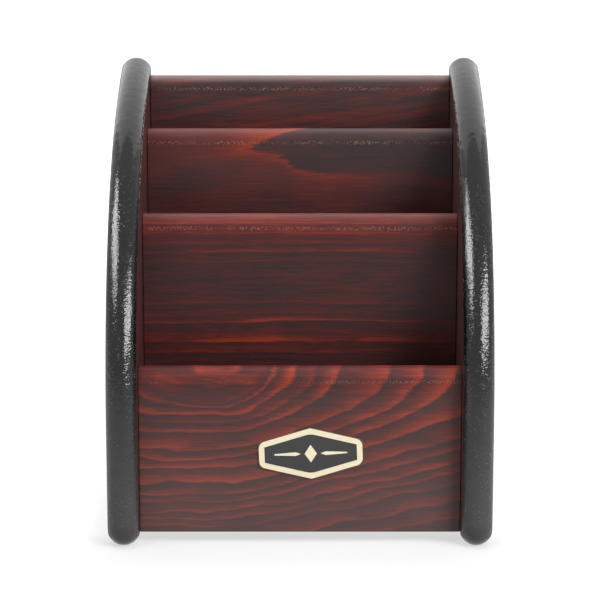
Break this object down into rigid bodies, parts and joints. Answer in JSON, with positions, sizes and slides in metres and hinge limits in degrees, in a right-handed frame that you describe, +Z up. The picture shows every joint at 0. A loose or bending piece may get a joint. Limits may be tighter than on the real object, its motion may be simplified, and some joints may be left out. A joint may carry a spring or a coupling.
{
  "type": "pen holder",
  "caption": "Stepped wooden desk pen holder: quarter-round side boards with crowned edges carry a front panel, partitions and a back panel that form pockets of rising height.",
  "frame": {"origin": "on the table, at the middle of the footprint", "axes": "+X to the right as seen from the front, +Y from front to back, +Z up"},
  "size_m": [0.118, 0.0958, 0.1412],
  "materials": {
    "side_board": "gloss",
    "stained_board": "satin",
    "label": "gloss",
    "dowel_wood": "matte"
  },
  "bodies": {
    "root": {"left_side_panel": "side_board", "right_side_panel": "side_board", "front_panel": "stained_board", "middle_partition": "stained_board", "rear_partition": "stained_board", "back_panel": "stained_board", "bottom_board": "stained_board", "label_plate": "label", "left_front_dowels": "dowel_wood", "left_middle_dowels": "dowel_wood", "left_rear_dowels": "dowel_wood", "left_back_dowels": "dowel_wood", "left_bottom_dowels": "dowel_wood", "right_front_dowels": "dowel_wood", "right_middle_dowels": "dowel_wood", "right_rear_dowels": "dowel_wood", "right_back_dowels": "dowel_wood", "right_bottom_dowels": "dowel_wood"}
  },
  "joints": []
}
